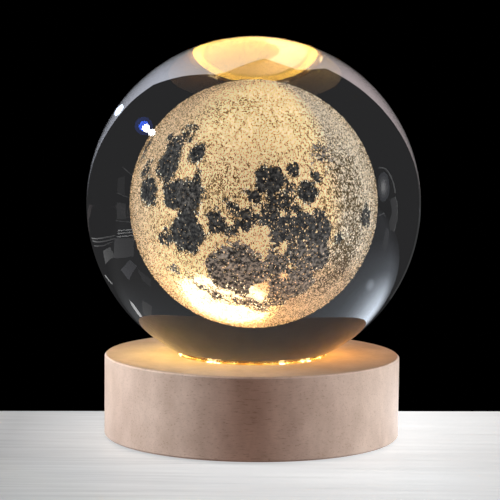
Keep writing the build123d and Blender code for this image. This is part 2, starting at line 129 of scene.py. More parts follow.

# Dark plains: latitude, longitude, diameter in km from north to south, how many times as long from east to
# west, how ragged the shore is, the share of the engraving left inside, and how pale the glass looks there:
# painted light, where the lit engraving behind shows through
MARIA = {
    "crisium": (16.2, 61.0, 420, 1.3, 0.35, 0.01, 0.0),
    "serenitatis": (27.2, 21.0, 640, 1.0, 0.35, 0.01, 0.0),
    "serenitatis_south": (18.0, 25.0, 330, 1.0, 0.5, 0.02, 0.0),
    "tranquillitatis": (8.0, 28.5, 580, 1.0, 0.6, 0.02, 0.04),
    "tranquillitatis_east": (10.5, 38.5, 480, 1.0, 0.7, 0.03, 0.0),
    "tranquillitatis_strait": (4.0, 46.0, 260, 1.0, 0.7, 0.05, 0.0),
    "asperitatis": (-4.0, 27.5, 220, 1.0, 0.9, 0.1, 0.0),
    "fecunditatis": (-2.0, 51.5, 500, 1.0, 0.5, 0.02, 0.0),
    "fecunditatis_middle": (-10.0, 54.5, 400, 1.0, 0.6, 0.06, 0.0),
    "fecunditatis_south": (-19.0, 54.0, 260, 1.3, 1.3, 0.25, 0.0),
    "nectaris": (-15.8, 36.0, 320, 1.0, 0.5, 0.02, 0.0),
    "vaporum": (13.5, 4.0, 340, 1.0, 1.1, 0.08, 0.0),
    "vaporum_east": (9.5, 9.5, 170, 1.0, 1.2, 0.1, 0.0),
    "vaporum_west": (14.0, -6.0, 190, 1.0, 1.2, 0.08, 0.0),
    "aestuum": (5.0, -9.0, 360, 1.0, 1.5, 0.12, 0.0),
    "medii": (1.5, 1.0, 170, 1.0, 1.0, 0.1, 0.0),
    "insularum": (-4.0, -21.0, 460, 1.0, 1.3, 0.14, 0.0),
    "mosting": (-8.0, -9.0, 220, 1.0, 1.2, 0.08, 0.0),
    "nubium": (-21.5, -12.5, 510, 1.0, 0.55, 0.01, 0.0),
    "cognitum": (-13.0, -24.0, 460, 1.3, 1.1, 0.2, 0.0),
    "cognitum_link": (-15.0, -17.0, 200, 1.0, 0.8, 0.04, 0.0),
    "cognitum_south": (-24.0, -25.5, 300, 1.0, 1.8, 0.4, 0.05),
    "humorum": (-24.3, -37.2, 360, 1.0, 0.4, 0.01, 0.0),
    "epidemiarum": (-32.3, -25.5, 180, 1.0, 1.2, 0.1, 0.0),
    "palus": (-35.0, -41.0, 120, 1.0, 1.0, 0.1, 0.0),
    "procellarum_south": (-4.0, -52.0, 500, 1.0, 0.7, 0.07, 0.03),
    "riphaeus": (-5.0, -42.0, 480, 1.0, 0.7, 0.09, 0.0),
    "riphaeus_east": (-3.0, -32.0, 380, 1.0, 1.0, 0.14, 0.0),
    "procellarum_shore": (-14.0, -48.0, 240, 1.0, 1.6, 0.35, 0.0),
    "procellarum_middle": (9.0, -53.0, 680, 1.0, 0.6, 0.14, 0.12),
    "procellarum_west": (9.0, -61.0, 420, 1.0, 0.8, 0.12, 0.13),
    "kepler_ground": (4.0, -35.0, 460, 1.2, 0.8, 0.12, 0.05),
    "procellarum_east": (23.0, -37.0, 520, 1.2, 0.8, 0.14, 0.15),
    "procellarum_north": (28.0, -56.0, 760, 1.0, 0.8, 0.14, 0.17),
    "roris": (41.0, -58.0, 430, 1.0, 0.8, 0.24, 0.22),
    "imbrium": (36.0, -16.0, 900, 1.0, 0.45, 0.05, 0.22),
    "imbrium_west": (31.0, -28.0, 520, 1.0, 0.6, 0.08, 0.2),
    "imbrium_south": (24.0, -14.0, 430, 1.0, 0.8, 0.10, 0.2),
    "iridum": (45.0, -29.5, 280, 1.0, 0.6, 0.12, 0.22),
    "frigoris_far": (51.0, -52.0, 150, 3.0, 0.5, 0.15, 0.3),
    "frigoris_west": (55.5, -38.5, 110, 3.6, 0.5, 0.12, 0.22),
    "frigoris": (59.6, -17.0, 120, 3.4, 0.5, 0.12, 0.22),
    "frigoris_middle": (58.6, -3.0, 110, 2.6, 0.6, 0.2, 0.22),
    "frigoris_east": (54.5, 31.0, 110, 3.0, 0.8, 0.2, 0.22),
    "somniorum": (36.0, 37.5, 180, 1.0, 1.3, 0.12, 0.0),
    "somniorum_west": (38.7, 27.0, 90, 1.0, 1.2, 0.12, 0.0),
    "undarum": (6.0, 71.5, 230, 1.0, 1.6, 0.3, 0.0),
    "marginis": (-14.0, 63.0, 140, 1.0, 1.6, 0.3, 0.0),
    "schickard": (-51.0, -46.0, 240, 1.0, 1.7, 0.45, 0.2),
    "schiller": (-43.0, -44.0, 180, 1.0, 1.8, 0.5, 0.2),
    "grimaldi": (-5.5, -68.3, 150, 1.0, 0.6, 0.05, 0.0),
    "smythii": (-1.5, 87.0, 350, 1.0, 1.0, 0.1, 0.0),
    "orientale": (-19.4, -92.8, 320, 1.0, 0.8, 0.1, 0.0),
    "moscoviense": (27.3, 147.9, 270, 1.0, 0.6, 0.05, 0.0),
    "ingenii": (-33.7, 163.5, 300, 1.0, 1.2, 0.2, 0.0),
    "tsiolkovskiy": (-20.4, 129.1, 180, 1.0, 0.6, 0.03, 0.0),
}

# Bright young craters: latitude, longitude, radius of their solid apron and of their rays, in degrees
RAY_CRATERS = {
    "copernicus": (13.0, -19.5, 3.6, 6.5),
    "copernicus_east": (14.0, -13.0, 2.8, 5.0),
    "carpatus": (13.0, -25.5, 2.6, 5.5),
    "kepler": (9.0, -35.7, 2.8, 4.8),
    "aristarchus": (25.0, -48.0, 2.2, 3.6),
    "euler": (19.5, -30.0, 0.3, 3.5),
    "apenninus": (22.5, -1.0, 2.6, 6.0),
    "apenninus_north": (27.5, 4.5, 2.0, 4.5),
    "caucasus": (35.0, 6.5, 1.5, 4.0),
    "jura": (41.5, -41.5, 4.0, 6.0),
    "menelaus": (16.5, 15.0, 0.5, 2.5),
    "proclus": (16.0, 47.5, 1.0, 4.0),
    "lansberg": (-6.5, -26.5, 1.2, 2.2),
    "tycho": (-43.0, -11.5, 2.5, 13.0),
    "giordano": (36.0, 102.9, 2.0, 9.0),
    "jackson": (22.4, -163.1, 2.5, 12.0),
}
SHORE_WIDTH = 4.0
SHORE_GROWTH = 1.0
# The engraving is made full and even round the sides of the globe, a little in front of its middle: a painted
# brighter edge, where the globe is seen edge-on from the front
RIM_PLACE = 0.06
# Where the engraving is thinner: latitude, longitude, angle across in degrees, and the share missing
THIN_PATCHES = {
    "western_limb": (-20.0, -100.0, 50.0, 0.46),
    "north_western_limb": (14.0, -92.0, 30.0, 0.3),
    "southern_uplands": (-3.0, 11.0, 19.0, 0.2),
    "southern_middle": (-7.0, 16.0, 12.0, 0.2),
    "south_eastern_limb": (-54.0, 66.0, 24.0, 0.3),
    "south_western_limb": (-52.0, -50.0, 22.0, 0.22),
}


def towards(bearing, height):
    """Unit vector, from degrees anticlockwise from +X and degrees above level."""
    turn, rise = math.radians(bearing), math.radians(height)
    return (math.cos(rise) * math.cos(turn), math.cos(rise) * math.sin(turn), math.sin(rise))


# How the lamp's light changes over the globe, in the order in which it is laid on: a direction, how far
# towards it the change starts, over what it grows, and its colour. The last two are nearest the LEDs.
LIT_SIDES = [
    ((0.10, -0.30, 0.95), 0.68, 0.25, (1.05, 0.80, 0.46)),
    (towards(148, 20.4), 0.30, 0.40, (0.51, 0.37, 0.25)),
    (towards(32, 6), 0.25, 0.20, (0.53, 0.45, 0.37)),
    ((0.85, -0.40, -0.35), 0.93, 0.05, (0.64, 0.57, 0.50)),
    ((0.50, -0.20, -0.84), 0.80, 0.12, (0.43, 0.33, 0.235)),
    ((-0.50, -0.45, -0.74), 0.84, 0.18, (0.76, 0.62, 0.35)),
    ((-0.27, -0.40, -0.875), 0.85, 0.07, (1.0, 0.88, 0.55)),
    ((-0.27, -0.40, -0.875), 0.905, 0.02, (1.8, 1.7, 1.4)),
]


def moon_rotation():
    """Turns the globe from north up, facing longitude to the front, to how it stands."""
    lean = Matrix.Rotation(math.radians(NORTH_LEAN), 3, "X")
    roll = Matrix.Rotation(math.radians(NORTH_ROLL), 3, "Y")
    return np.array(roll @ lean)


def moon_direction(latitude, longitude):
    """Unit vector of a place on the Moon, in the frame of the lamp."""
    lat = math.radians(latitude)
    lon = math.radians(longitude - FACING_LONGITUDE)
    upright = np.array([math.cos(lat) * math.sin(lon), -math.cos(lat) * math.cos(lon), math.sin(lat)])
    return moon_rotation() @ upright


# Node helpers


def rgb(value):
    """Three numbers, from three or from one grey level."""
    return value if isinstance(value, tuple) else (value,) * 3


def is_socket(value):
    return isinstance(value, bpy.types.NodeSocket)


def new_material(name):
    material = bpy.data.materials.new(name)
    material.use_nodes = True
    tree = material.node_tree
    tree.nodes.clear()
    output = tree.nodes.new("ShaderNodeOutputMaterial")
    return material, tree, output


def node(tree, kind, **settings):
    made = tree.nodes.new(kind)
    for key, value in settings.items():
        if key in made.inputs:
            made.inputs[key].default_value = value
        else:
            setattr(made, key, value)
    return made


def feed(tree, source, target, *names):
    """Links an output socket to inputs of a node."""
    for name in names:
        tree.links.new(source, target.inputs[name])


def coordinates(tree, scale=(1, 1, 1), rotation=(0, 0, 0)):
    """Position on the piece, in metres, scaled and turned."""
    mapping = node(tree, "ShaderNodeMapping", Scale=scale, Rotation=rotation)
    feed(tree, position(tree), mapping, "Vector")
    return mapping.outputs["Vector"]


def position(tree):
    return node(tree, "ShaderNodeTexCoord").outputs["Object"]


def noise_texture(tree, place, scale, detail=3.0, roughness=0.55, distortion=0.0):
    """From 0 to 1, drifting over the piece."""
    texture = node(
        tree, "ShaderNodeTexNoise", Scale=scale, Detail=detail, Roughness=roughness, Distortion=distortion
    )
    feed(tree, place, texture, "Vector")
    return texture.outputs["Fac"]


def ramp(tree, value, stops):
    """Colour over an output socket, from the position and the colour or grey level of each stop."""
    made = node(tree, "ShaderNodeValToRGB")
    elements = made.color_ramp.elements
    while len(elements) < len(stops):
        elements.new(0.5)
    for element, (place, colour) in zip(elements, stops):
        element.position = place
        element.color = (*rgb(colour), 1.0)
    feed(tree, value, made, "Fac")
    return made.outputs["Color"]


def mix_colour(tree, blend, factor, a, b):
    """A mix of two colours. Each input is an output socket or a constant."""
    made = node(tree, "ShaderNodeMix", data_type="RGBA", blend_type=blend)
    for i, value in ((0, factor), (6, a), (7, b)):
        if is_socket(value):
            tree.links.new(value, made.inputs[i])
        else:
            made.inputs[i].default_value = value if i == 0 else (*rgb(value), 1)
    return made.outputs[2]


def attribute(tree, name, socket="Fac"):
    return node(tree, "ShaderNodeAttribute", attribute_type="GEOMETRY", attribute_name=name).outputs[socket]


def math_node(tree, operation, *values, clamp=False):
    """A Math node whose inputs are numbers or output sockets."""
    made = node(tree, "ShaderNodeMath", operation=operation, use_clamp=clamp)
    for i, value in enumerate(values):
        if is_socket(value):
            tree.links.new(value, made.inputs[i])
        else:
            made.inputs[i].default_value = value
    return made.outputs[0]


def scaled(tree, value, factor, start, clamp=False):
    """An output socket times factor, plus start."""
    return math_node(tree, "MULTIPLY_ADD", value, factor, start, clamp=clamp)


def times(tree, first, second, clamp=False):
    return math_node(tree, "MULTIPLY", first, second, clamp=clamp)


def vector_node(tree, operation, first, second, socket="Vector"):
    """A Vector Math node on an output socket and a constant."""
    made = node(tree, "ShaderNodeVectorMath", operation=operation)
    tree.links.new(first, made.inputs[0])
    made.inputs[1].default_value = second
    return made.outputs[socket]


def along(tree, direction, offset=(0, 0, 0)):
    """How far a point of the piece lies along a direction from offset, in metres."""
    shifted = vector_node(tree, "SUBTRACT", position(tree), offset)
    return vector_node(tree, "DOT_PRODUCT", shifted, direction, "Value")


def bump(tree, height, shader, strength, distance):
    made = node(tree, "ShaderNodeBump", Strength=strength, Distance=distance)
    feed(tree, height, made, "Height")
    feed(tree, made.outputs["Normal"], shader, "Normal")


def principled(tree, output, **values):
    shader = node(tree, "ShaderNodeBsdfPrincipled")
    for key, value in values.items():
        shader.inputs[key.replace("_", " ")].default_value = value
    feed(tree, shader.outputs["BSDF"], output, "Surface")
    return shader


def emission(tree, colour):
    """A glow, of a constant colour or of an output socket."""
    glow = node(tree, "ShaderNodeEmission")
    if is_socket(colour):
        feed(tree, colour, glow, "Color")
    else:
        glow.inputs["Color"].default_value = (*rgb(colour), 1)
    return glow.outputs["Emission"]


def ray_kind(tree, name):
    """1 for rays of one kind, 0 for the rest."""
    return node(tree, "ShaderNodeLightPath").outputs[name]


def choose(tree, factor, first, second):
    """The first shader where factor is 0 and the second where it is 1."""
    made = node(tree, "ShaderNodeMixShader")
    for i, value in enumerate((factor, first, second)):
        tree.links.new(value, made.inputs[i])
    return made.outputs["Shader"]


def glow_for_the_eye(tree, material):
    """Strength of a glow that lights hardly anything about it."""
    material.cycles.emission_sampling = "NONE"
    return scaled(tree, ray_kind(tree, "Is Diffuse Ray"), -GLOW_KEPT_BACK, 1.0)


def grained_material(name, dark, light, scale, roughness=(0.4, 0.6), metallic=0.0, bump_depth=0.00002):
    """A moulded, plated or painted finish with a fine uneven grain."""
    material, tree, output = new_material(name)
    shader = principled(tree, output, Metallic=metallic)
    grain = noise_texture(tree, coordinates(tree), scale, 4.0)
    feed(tree, ramp(tree, grain, [(0.3, dark), (0.7, light)]), shader, "Base Color")
    feed(tree, ramp(tree, grain, [(0.3, roughness[0]), (0.7, roughness[1])]), shader, "Roughness")
    bump(tree, grain, shader, 0.5, bump_depth)
    return material


# Materials


def glass_material():
    """Clear crystal. Lamps shine straight through it."""
    material, tree, output = new_material("clear_crystal")
    glass = node(tree, "ShaderNodeBsdfGlass", distribution="GGX", IOR=GLASS_IOR, Roughness=0.0)
    tint = noise_texture(tree, coordinates(tree), 40.0, 2.0)
    feed(tree, ramp(tree, tint, [(0.3, (0.975, 0.98, 0.985)), (0.7, 0.99)]), glass, "Color")
    clear = node(tree, "ShaderNodeBsdfTransparent", Color=(*rgb(GLASS_PASSES), 1))
    shown = choose(tree, ray_kind(tree, "Is Shadow Ray"), glass.outputs["BSDF"], clear.outputs["BSDF"])
    feed(tree, shown, output, "Surface")
    return material


def beech_material():
    """Pale sanded beech: soft bands along the board, fine pores, a painted highlight along its top edge, and
    the lamp's light in the well, painted as a glow.
    """
    material, tree, output = new_material("beech")
    shader = principled(tree, output, Emission_Color=(*WELL_COLOUR, 1))
    bands = noise_texture(tree, coordinates(tree, (40, 9, 9), (0, 0, 0.2)), 1.0, 2.0, 0.5, 0.8)
    board = ramp(
        tree, bands, [(0.3, (0.59, 0.42, 0.34)), (0.5, (0.66, 0.485, 0.39)), (0.7, (0.70, 0.525, 0.43))]
    )
    pores = noise_texture(tree, coordinates(tree, (420, 3000, 3000), (0, 0, 0.2)), 1.0, 3.0, 0.75)
    pore_shade = ramp(tree, pores, [(0.32, (0.58, 0.48, 0.42)), (0.43, (0.95, 0.94, 0.93)), (0.6, 1)])
    cloud = noise_texture(tree, coordinates(tree, (1, 1, 0.6)), 150.0, 5.0, 0.65)
    cloud_shade = ramp(tree, cloud, [(0.32, (0.88, 0.86, 0.84)), (0.5, 1), (0.66, (1.12, 1.14, 1.15))])
    colour = mix_colour(tree, "MULTIPLY", 0.65, board, pore_shade)
    colour = mix_colour(tree, "MULTIPLY", 1.0, colour, cloud_shade)

    flat = vector_node(tree, "MULTIPLY", position(tree), (1, 1, 0))
    radius = vector_node(tree, "DISTANCE", flat, (0, 0, 0), "Value")
    # Painted highlight: a thin band along the top edge of the base is made paler and cooler
    outermost = math_node(tree, "GREATER_THAN", radius, (BASE_R - EDGE_HIGHLIGHT_WIDTH) * MM)
    uppermost = math_node(tree, "GREATER_THAN", along(tree, (0, 0, 1)), (BASE_TOP - EDGE_HIGHLIGHT_WIDTH) * MM)
    edge = times(tree, outermost, uppermost)
    feed(tree, mix_colour(tree, "MULTIPLY", edge, colour, (1.25, 1.27, 1.29)), shader, "Base Color")
    feed(tree, ramp(tree, cloud, [(0.3, 0.46), (0.7, 0.6)]), shader, "Roughness")
    bump(tree, pores, shader, 0.35, 0.00006)

    # Painted light: in the well the wood glows with the lamp's light, as emission
    in_well = math_node(tree, "LESS_THAN", radius, WELL_LIT_R * MM)
    above = math_node(tree, "GREATER_THAN", along(tree, (0, 0, 1)), (LENS_TOP - 1.0) * MM)
    strength = times(tree, in_well, times(tree, above, WELL_GLOW))
    strength = times(tree, strength, glow_for_the_eye(tree, material))
    feed(tree, strength, shader, "Emission Strength")
    return material


def lamp_tint(tree):
    """Colour of the lamp's light on the engraving: golden, dimmer at the sides, burnt out below."""
    drift = noise_texture(tree, coordinates(tree), 90.0, 3.0, 0.6)
    ragged = scaled(tree, drift, 0.16, -0.08)
    lit = ramp(tree, drift, [(0.35, (0.75, 0.535, 0.31)), (0.65, (0.86, 0.62, 0.375))])
    for side, start, width, colour in LIT_SIDES:
        reach = along(tree, tuple(v / (ENGRAVING_R * MM) for v in side), tuple(BALL_CENTRE))
        share = math_node(tree, "ADD", reach, ragged)
        share = scaled(tree, share, 1 / width, -start / width, clamp=True)
        lit = mix_colour(tree, "MIX", share, lit, colour)
    return lit


def grain_material():
    """Fractured glass grains, which scatter the lamp's light and glow warm."""
    material, tree, output = new_material("engraved_grains")
    shader = principled(
        tree, output, Roughness=0.7, Specular_IOR_Level=0.15, Emission_Strength=ENGRAVING_GLOW
    )
    each = node(tree, "ShaderNodeNewGeometry").outputs["Random Per Island"]
    own = ramp(
        tree, each,
        [
            (0.0, (0.06, 0.046, 0.03)),
            (0.25, (0.33, 0.27, 0.18)),
            (0.5, (0.80, 0.75, 0.62)),
            (1.0, (1.45, 1.41, 1.28)),
        ],
    )
    lit = mix_colour(tree, "MULTIPLY", 1.0, lamp_tint(tree), own)
    feed(tree, lit, shader, "Base Color", "Emission Color")
    return material


def core_material():
    """Golden engraved ground, and plains left clear, which read as lumpy charcoal: painted shade for the dark
    seen through the clear glass, with paler painted light where the lit engraving behind shows through.
    """
    material, tree, output = new_material("engraving_layer")
    shader = principled(
        tree, output, Roughness=0.8, Specular_IOR_Level=0.1, Emission_Strength=ENGRAVING_GLOW
    )
    place = coordinates(tree)
    cells = node(tree, "ShaderNodeTexVoronoi", feature="F1", Scale=3900.0)
    feed(tree, coordinates(tree, (1.35, 1.0, 0.8), (0, 0.6, 0)), cells, "Vector")
    sparkle = node(tree, "ShaderNodeSeparateColor")
    feed(tree, cells.outputs["Color"], sparkle, "Color")
    red, green, blue = sparkle.outputs
    fleck = noise_texture(tree, place, 2400.0, 3.0, 0.7)
    shore_noise = noise_texture(tree, place, 1000.0, 5.0, 0.75)

    wander = scaled(tree, shore_noise, 0.8, -0.4)
    depth = math_node(tree, "ADD", attribute(tree, "plain"), wander)
    depth = math_node(tree, "ADD", depth, scaled(tree, green, 0.3, -0.15))
    in_plain = scaled(tree, depth, 16.0, -7.5, clamp=True)
    left = times(tree, attribute(tree, "leavings"), 0.5)
    dark = math_node(tree, "SUBTRACT", in_plain, math_node(tree, "LESS_THAN", red, left), clamp=True)

    pits = scaled(tree, fleck, 1.3, -0.65)
    held = math_node(tree, "ADD", attribute(tree, "cover"), pits)
    gap = math_node(tree, "GREATER_THAN", blue, held)
    shade = scaled(tree, green, 1.4, 0.32)
    shade = times(tree, shade, scaled(tree, gap, -0.88, 1.0))
    boost = scaled(tree, attribute(tree, "rays"), 0.25, 1.0)
    shade = times(tree, shade, boost)
    warmth = ramp(
        tree, shade, [(0.1, (0.10, 0.075, 0.04)), (0.5, (0.45, 0.38, 0.28)), (1.0, (1.15, 1.13, 1.06))]
    )
    ground = mix_colour(tree, "MULTIPLY", 1.0, lamp_tint(tree), warmth)

    # Painted shade: the plains are dark lumpy charcoal where the real glass is clear and dark behind
    lumps = noise_texture(tree, place, 1500.0, 3.0, 0.65)
    depths = ramp(
        tree, lumps,
        [
            (0.36, (0.007, 0.007, 0.008)),
            (0.5, (0.029, 0.028, 0.027)),
            (0.62, (0.065, 0.060, 0.056)),
            (0.78, (0.19, 0.17, 0.15)),
        ],
    )
    lumpy = scaled(tree, lumps, 6.0, -2.6, clamp=True)
    # Painted light: paler brownish lumps in the plains, where the lit engraving behind shows through the
    # glass
    behind_glowing = scaled(tree, lumpy, 2.8, 0.1)
    behind_glowing = times(tree, attribute(tree, "behind_glow"), behind_glowing)
    plain = mix_colour(tree, "ADD", behind_glowing, depths, (0.31, 0.25, 0.205))
    colour = mix_colour(tree, "MIX", dark, ground, plain)
    ashore = math_node(tree, "ABSOLUTE", math_node(tree, "SUBTRACT", depth, 0.56))
    chip = math_node(tree, "LESS_THAN", ashore, scaled(tree, red, 0.5, -0.405))
    colour = mix_colour(tree, "MIX", chip, colour, (0.92, 0.82, 0.62))
    feed(tree, colour, shader, "Base Color", "Emission Color")
    bump(tree, lumps, shader, 0.6, 0.00012)
    return material


def seat_ring_material():
    """Clear soft ring with painted light: a glow where it is lit through from below, and painted glints along
    its top.
    """
    material, tree, output = new_material("clear_ring")
    shader = principled(tree, output, Roughness=0.18, Transmission_Weight=0.35, IOR=RING_IOR)
    glints = noise_texture(tree, coordinates(tree), 420.0, 2.0, 0.5)
    # Painted glints: bright flecks in the colour and glow of the ring's top. Below the top of the base the
    # ring glows with the lamp's painted light.
    outer = ramp(
        tree, glints, [(0.42, (0.06, 0.03, 0.01)), (0.56, (0.20, 0.13, 0.06)), (0.66, (1.5, 1.4, 1.15))]
    )
    start = RING_SHADE_SLOPE * RING_SHADE_Z * MM
    depth = scaled(tree, along(tree, (0, 0, 1)), -RING_SHADE_SLOPE, start)
    inner = math_node(tree, "ADD", depth, 0.5, clamp=True)
    feed(tree, outer, shader, "Base Color")
    feed(tree, mix_colour(tree, "MIX", inner, outer, RING_INNER_LIGHT), shader, "Emission Color")
    feed(tree, glow_for_the_eye(tree, material), shader, "Emission Strength")
    return material


def lens_material():
    """Frosted disc, glowing unevenly."""
    material, tree, output = new_material("frosted_lens")
    shader = principled(tree, output, Roughness=0.5, Emission_Strength=1.2)
    frost = noise_texture(tree, coordinates(tree), 900.0, 3.0)
    feed(tree, ramp(tree, frost, [(0.3, (0.9, 0.84, 0.74)), (0.7, (0.97, 0.93, 0.86))]), shader, "Base Color")
    glow = ramp(tree, frost, [(0.3, (1.0, 0.5, 0.17)), (0.7, (1.0, 0.62, 0.28))])
    feed(tree, glow, shader, "Emission Color")
    return material


def phosphor_material():
    material, tree, output = new_material("phosphor")
    shader = principled(tree, output, Roughness=0.6, Emission_Strength=2.0)
    fleck = noise_texture(tree, coordinates(tree), 2500.0, 3.0)
    colour = ramp(tree, fleck, [(0.3, (0.85, 0.55, 0.1)), (0.7, (0.95, 0.7, 0.2))])
    feed(tree, colour, shader, "Base Color", "Emission Color")
    return material


# Pieces


def mesh_object(name, vertices, faces, material):
    """A new piece, from vertices in metres."""
    mesh = bpy.data.meshes.new(name)
    mesh.from_pydata(vertices, [], faces)
    mesh.materials.append(material)
    made = bpy.data.objects.new(name, mesh)
    bpy.context.scene.collection.objects.link(made)
    return made


def add_mesh(name, vertices, faces, material, body, smooth=True):
    """A piece of the lamp, on one of its bodies."""
    made = mesh_object(name, vertices, faces, material)
    if smooth:
        made.data.shade_smooth()
    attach(made, body)
    return made


def sphere_mesh(radius, rings, segments, lump=None):
    """Vertices and faces of a ball about the ball's centre; lump changes its radius by direction."""
    vertices = []
    for i in range(rings + 1):
        polar = math.pi * i / rings
        count = 1 if i in (0, rings) else segments
        for j in range(count):
            turn = 2 * math.pi * j / segments
            direction = Vector(
                (math.sin(polar) * math.cos(turn), math.sin(polar) * math.sin(turn), math.cos(polar))
            )
            reach = radius + (lump(direction) if lump else 0.0)
            vertices.append(BALL_CENTRE + direction * reach * MM)
    faces = []
    for j in range(segments):
        faces.append((0, 1 + j, 1 + (j + 1) % segments))
        last = len(vertices) - 1
        start = last - segments
        faces.append((last, start + (j + 1) % segments, start + j))
    for i in range(rings - 2):
        for j in range(segments):
            a = 1 + i * segments + j
            b = 1 + i * segments + (j + 1) % segments
            faces.append((a, a + segments, b + segments, b))
    return vertices, faces


def angle_from(directions, latitude, longitude, stretch=1.0):
    """Angle in degrees from each direction to a place, with angles from east to west divided by stretch."""
    if stretch == 1.0:
        return np.degrees(np.arccos(np.clip(directions @ moon_direction(latitude, longitude), -1, 1)))
    centre = moon_direction(latitude, longitude)
    east = np.cross(moon_direction(90.0, 0.0), centre)
    east /= np.linalg.norm(east)
    north = np.cross(centre, east)
    flat = np.hypot(directions @ east / stretch, directions @ north)
    return np.where(directions @ centre > 0, np.degrees(np.arcsin(np.clip(flat, 0, 1))), 180.0)


def streaks(directions, latitude, longitude, seed):
    """From 0 to 1 with the bearing about a crater, in narrow rays."""
    centre = moon_direction(latitude, longitude)
    east = np.cross(centre, (0.0, 0.0, 1.0))
    east /= np.linalg.norm(east)
    north = np.cross(east, centre)
    bearing = np.arctan2(directions @ north, directions @ east)
    return np.array([0.5 + noise.noise(Vector((4 * math.cos(b), 4 * math.sin(b), seed))) for b in bearing])


def survey(directions):
    """What the engraving holds in each direction, from 0 to 1, in this order: plain, leavings, the glow seen
    through the plains, rays and cover.

    plain is 0.5 at a shore and 1 well inside, leavings is the engraving left inside, the glow seen through
    the plains is painted light: how much paler the glass looks inside, where the lit engraving behind shows
    through; rays is the bright ground about young craters, and cover is how dense the engraving is outside
    the plains, made full and even in a band round the globe's edge as seen from the front, for a painted
    brighter edge.
    """
    vectors = [Vector(d) for d in directions]
    rough = np.array([noise.fractal(v * 8.0, 0.8, 2.0, 5) for v in vectors])
    broad = np.array([noise.noise(v * 3.0 + Vector((5, 1, 7))) for v in vectors])
    patchy = np.array([noise.fractal(v * 14.0 + Vector((3, 8, 2)), 0.7, 2.0, 3) for v in vectors])
    depth = np.full(len(directions), -9.0)
    leavings = np.zeros(len(directions))
    behind_glow = np.zeros(len(directions))
    for latitude, longitude, diameter, stretch, ragged, left, behind_glowing in MARIA.values():
        radius = math.degrees(diameter / 2 / MOON_R_KM) + SHORE_GROWTH
        angle = angle_from(directions, latitude, longitude, stretch)
        inside = (radius - angle) / SHORE_WIDTH + ragged * rough
        leavings = np.where(inside > depth, left, leavings)
        behind_glow = np.where(inside > depth, behind_glowing, behind_glow)
        depth = np.maximum(depth, inside)
    rays = np.zeros(len(directions))
    for seed, (latitude, longitude, apron, reach) in enumerate(RAY_CRATERS.values()):
        angle = angle_from(directions, latitude, longitude)
        near = angle < reach * 1.3
        length = np.zeros(len(directions))
        rayed = 2.4 * streaks(directions[near], latitude, longitude, seed) - 0.9
        length[near] = apron + (reach - apron) * rayed
        rays = np.maximum(rays, np.clip((length + 1.2 * patchy - angle) / 1.5, 0, 1) * near)
    depth = np.minimum(depth, 2.0) - 3.2 * rays
    cover = 0.87 + 0.12 * broad + 0.22 * patchy
    for latitude, longitude, across, share in THIN_PATCHES.values():
        angle = angle_from(directions, latitude, longitude)
        cover -= share * np.clip((across - angle + 16 * patchy) / 16, 0, 1)
    # Painted brighter edge: full engraving in a band round the globe's outline as seen from the front
    rim = np.clip((0.20 - np.abs(directions[:, 1] + RIM_PLACE)) / 0.12, 0, 1)
    cover = np.clip(cover, 0, 1) + 0.5 * rim
    return np.clip(0.5 + 0.5 * depth, 0, 1), leavings, behind_glow, rays, cover


def grain_places(count, seed):
    """Evenly spread directions, shifted a little at random, kept where the engraving is."""
    random = np.random.default_rng(seed)
    index = np.arange(count) + 0.5
    height = 1 - 2 * index / count
    turn = math.pi * (1 + math.sqrt(5)) * index
    flat = np.sqrt(1 - height**2)
    directions = np.stack([flat * np.cos(turn), flat * np.sin(turn), height], axis=1)
    directions += random.normal(0, 0.7 / math.sqrt(count), directions.shape)
    directions /= np.linalg.norm(directions, axis=1)[:, None]
    plain, leavings, _, _, cover = survey(directions)
    in_plain = plain + random.normal(0, 0.12, count) > 0.5
    chance = np.where(in_plain, 0.02 + 0.3 * leavings, 0.8 * np.minimum(cover, 1))
    return directions[random.random(count) < chance], random


def grain_map(mesh, count):
    """A map with one small square for each grain, in which its four faces lie apart."""
    columns = math.ceil(math.sqrt(count))
    grain = np.arange(count)
    square = np.stack([grain % columns, grain // columns], 1)[:, None, None, :]
    quarter = np.array([[0, 0], [0.5, 0], [0, 0.5], [0.5, 0.5]])[None, :, None, :]
    corner = np.array([[0.05, 0.05], [0.45, 0.05], [0.05, 0.45]])[None, None, :, :]
    layer = mesh.uv_layers.new(name=BAKE_MAP)
    layer.data.foreach_set("uv", ((square + quarter + corner) / columns).ravel())


def grain_piece(name, directions, random, material):
    """Many small irregular grains with four faces each, as one mesh."""
    corners = np.array([[1, 1, 1], [1, -1, -1], [-1, 1, -1], [-1, -1, 1]]) / math.sqrt(3)
    count = len(directions)
    turns = random.normal(size=(count, 4))
    turns /= np.linalg.norm(turns, axis=1)[:, None]
    w, x, y, z = turns.T
    matrices = np.stack(
        [
            np.stack([1 - 2 * (y * y + z * z), 2 * (x * y - z * w), 2 * (x * z + y * w)], -1),
            np.stack([2 * (x * y + z * w), 1 - 2 * (x * x + z * z), 2 * (y * z - x * w)], -1),
            np.stack([2 * (x * z - y * w), 2 * (y * z + x * w), 1 - 2 * (x * x + y * y)], -1),
        ],
        1,
    )
    size = GRAIN_SIZE * random.uniform(0.6, 1.5, (count, 1, 1))
    depth = random.uniform(-0.2, 0.05, count)
    centres = directions * (ENGRAVING_R + depth)[:, None]
    shape = np.einsum("nij,kj->nki", matrices, corners) * size
    points = (centres[:, None, :] + shape).reshape(-1, 3) * MM + np.array(BALL_CENTRE)
    faces = np.arange(count)[:, None, None] * 4 + np.array([[0, 1, 2], [0, 3, 1], [0, 2, 3], [1, 3, 2]])
    piece = add_mesh(name, points.tolist(), faces.reshape(-1, 3).tolist(), material, "ball", False)
    grain_map(piece.data, count)
    return piece


def build_ball():
    vertices, faces = sphere_mesh(BALL_R, BALL_RINGS, BALL_SEGMENTS)
    ball = add_mesh("glass_ball", vertices, faces, glass_material(), "ball")
    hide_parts("crystal_ball")


